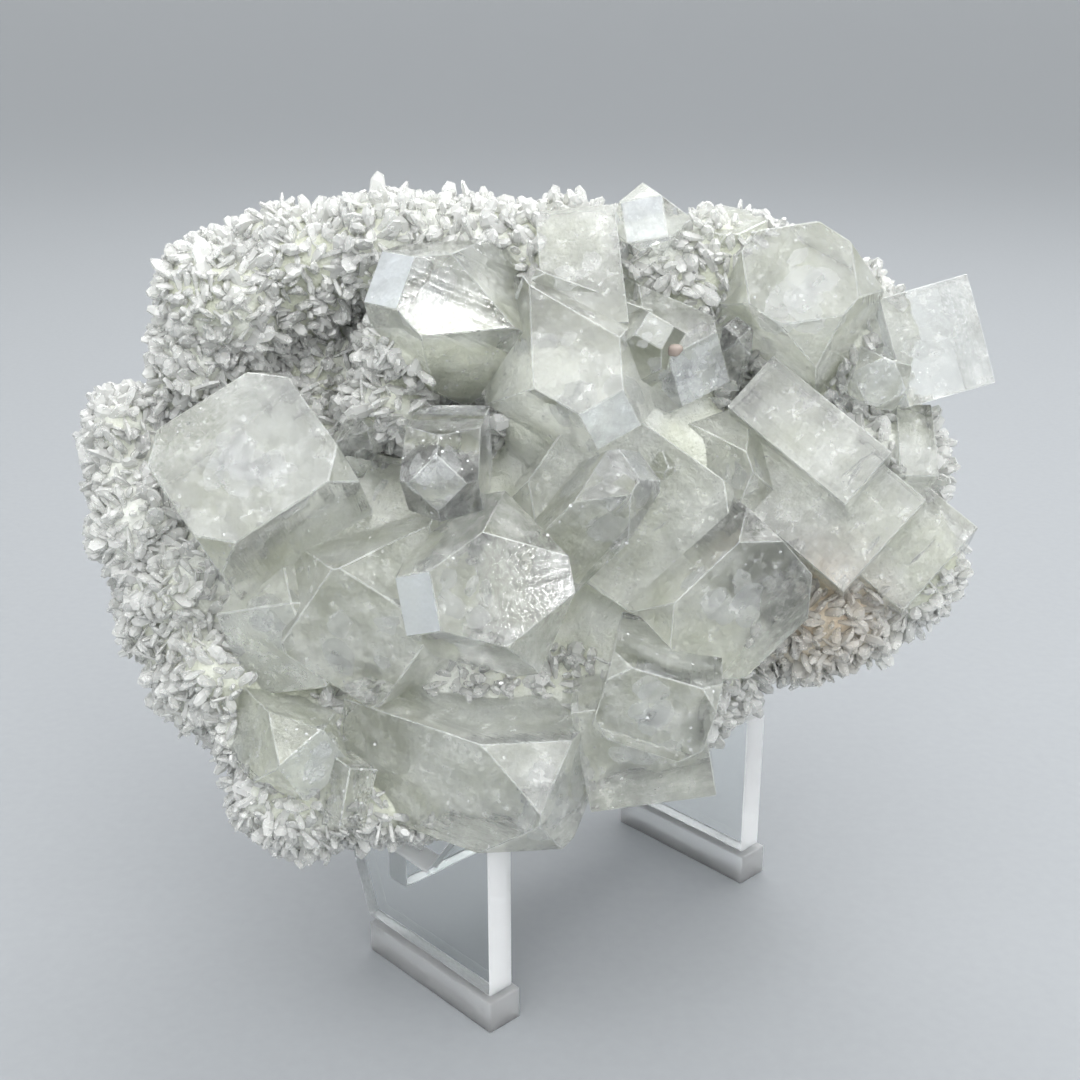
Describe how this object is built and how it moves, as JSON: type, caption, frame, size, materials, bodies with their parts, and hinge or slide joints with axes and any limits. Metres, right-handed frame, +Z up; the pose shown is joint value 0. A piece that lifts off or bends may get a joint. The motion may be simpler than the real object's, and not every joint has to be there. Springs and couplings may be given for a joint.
{
  "type": "apophyllite crystal cluster on a display stand",
  "caption": "Cluster of clear, pale green-white apophyllite crystals on a sugary white crust, leaning on a small clear sheet stand with upright legs on foot strips.",
  "frame": {"origin": "middle of the bounding box, on the table that the stand's feet rest on", "axes": "+X to the right across the cluster's face, +Z up, -Y towards the viewer"},
  "size_m": [0.101, 0.0552, 0.087],
  "materials": {
    "crystal": "glassy faces on a milky body, sugary crust",
    "clear_sheet": "clear and polished",
    "sawn_sheet": "frosted saw-cut edges"
  },
  "bodies": {
    "root": {"crystal_cluster": "crystal", "stand_leg_left": "clear_sheet", "stand_leg_right": "clear_sheet", "stand_foot_left": "sawn_sheet", "stand_foot_right": "sawn_sheet", "stand_cross_bar": "clear_sheet"}
  },
  "joints": []
}
